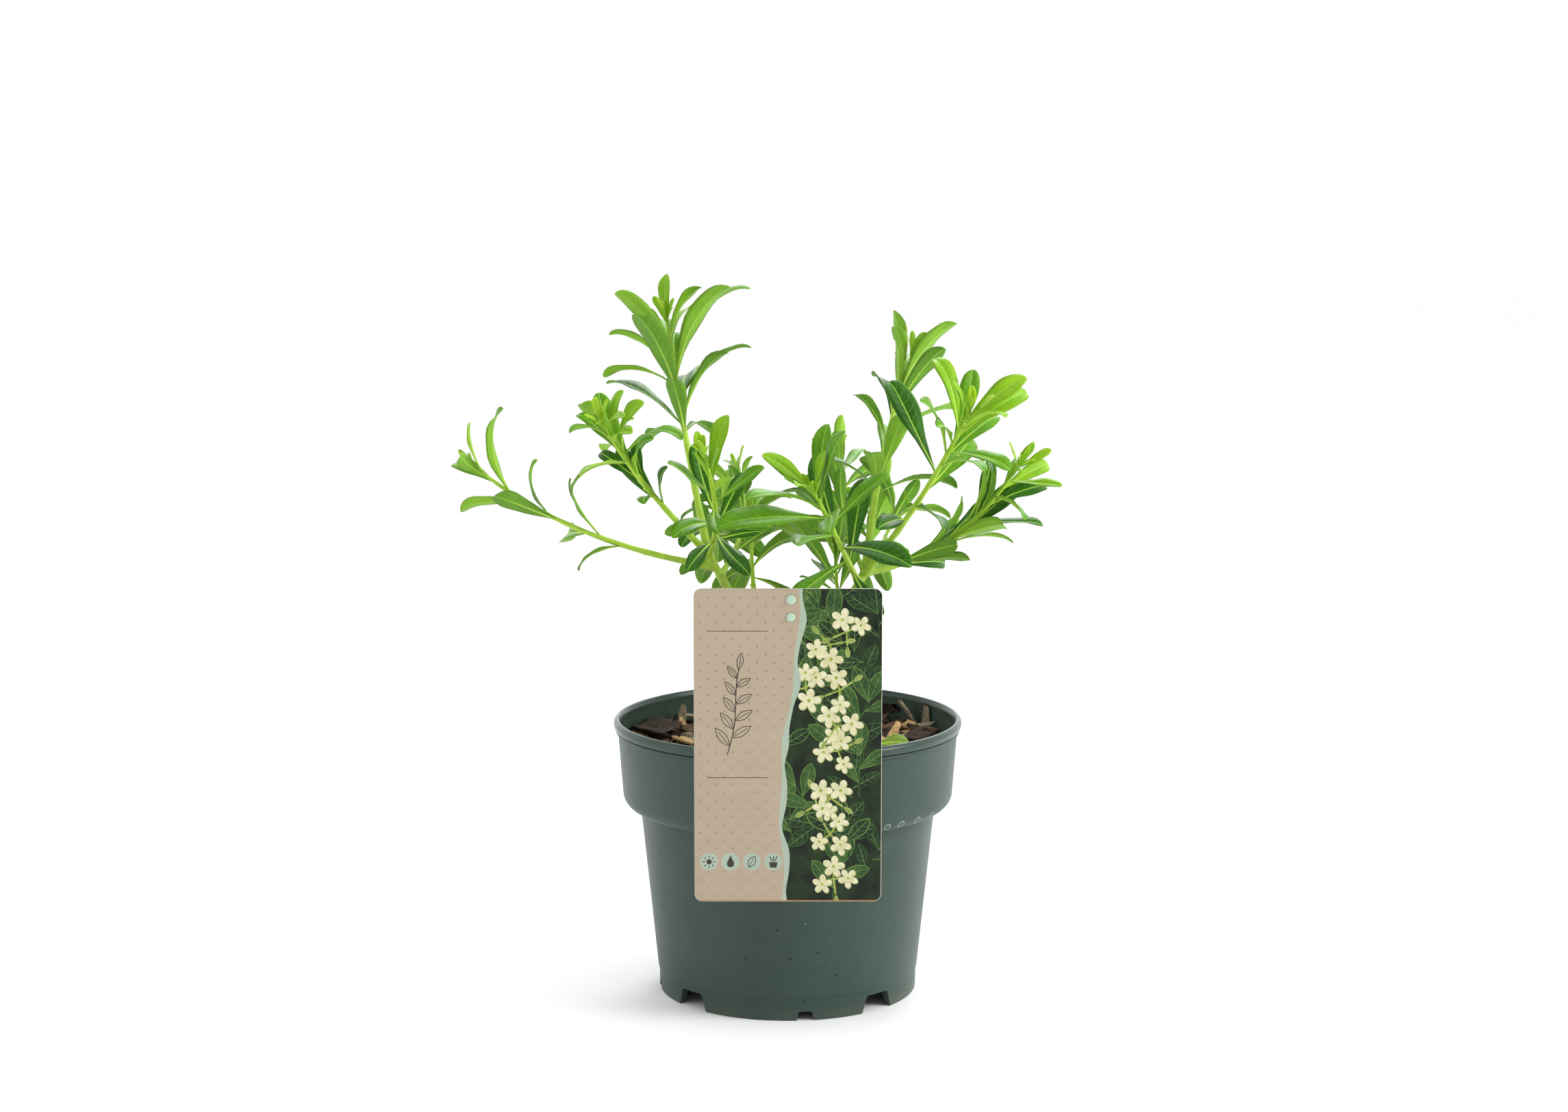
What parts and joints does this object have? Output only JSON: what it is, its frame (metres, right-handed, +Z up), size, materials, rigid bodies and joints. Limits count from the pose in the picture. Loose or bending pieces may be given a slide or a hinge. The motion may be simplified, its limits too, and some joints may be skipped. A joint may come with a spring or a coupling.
{
  "type": "potted green mound pittosporum",
  "caption": "Young evergreen shrub with two leafy clumps of glossy spoon-shaped leaves, in a plastic nursery pot with bark mulch and a picture label on a stick.",
  "frame": {"origin": "on the floor, at the middle of the pot's underside and on the pot's axis", "axes": "+Z up along the pot's axis, -Y out of the front where the label faces, +X to the right of someone who looks at the label"},
  "size_m": [0.332, 0.2502, 0.3893],
  "materials": {
    "pot_plastic": "soft matte grey-green, moulded",
    "compost": "moist peat, rough",
    "bark_chips": "split bark chips, rough",
    "label_card": "printed sheet, satin",
    "label_stick": "pale moulded plastic, satin",
    "bark": "grey-brown bark",
    "green_stem": "smooth yellow-green young wood",
    "foliage": "glossy leaves, paler beneath"
  },
  "bodies": {
    "root": {"pot": "pot_plastic", "compost": "compost", "bark_mulch": "bark_chips", "label_card": "label_card", "label_stick": "label_stick", "trunk": "bark", "left_stem": "green_stem", "right_stem": "green_stem", "middle_stem": "green_stem", "left_arm_bough": "green_stem", "left_fan_bough": "green_stem", "left_leader_bough": "green_stem", "left_front_bough": "green_stem", "left_back_bough": "green_stem", "middle_low_bough": "green_stem", "right_front_bough": "green_stem", "right_back_bough": "green_stem", "right_leader_bough": "green_stem", "right_high_bough": "green_stem", "right_arm_bough": "green_stem", "right_inner_bough": "green_stem", "middle_right_bough": "green_stem", "left_rear_bough": "green_stem", "right_rear_bough": "green_stem", "left_arm_foliage": "foliage", "left_fan_foliage": "foliage", "left_leader_foliage": "foliage", "left_front_foliage": "foliage", "left_back_foliage": "foliage", "middle_low_foliage": "foliage", "right_front_foliage": "foliage", "right_back_foliage": "foliage", "right_leader_foliage": "foliage", "right_high_foliage": "foliage", "right_arm_foliage": "foliage", "right_inner_foliage": "foliage", "middle_right_foliage": "foliage", "left_rear_foliage": "foliage", "right_rear_foliage": "foliage"}
  },
  "joints": []
}
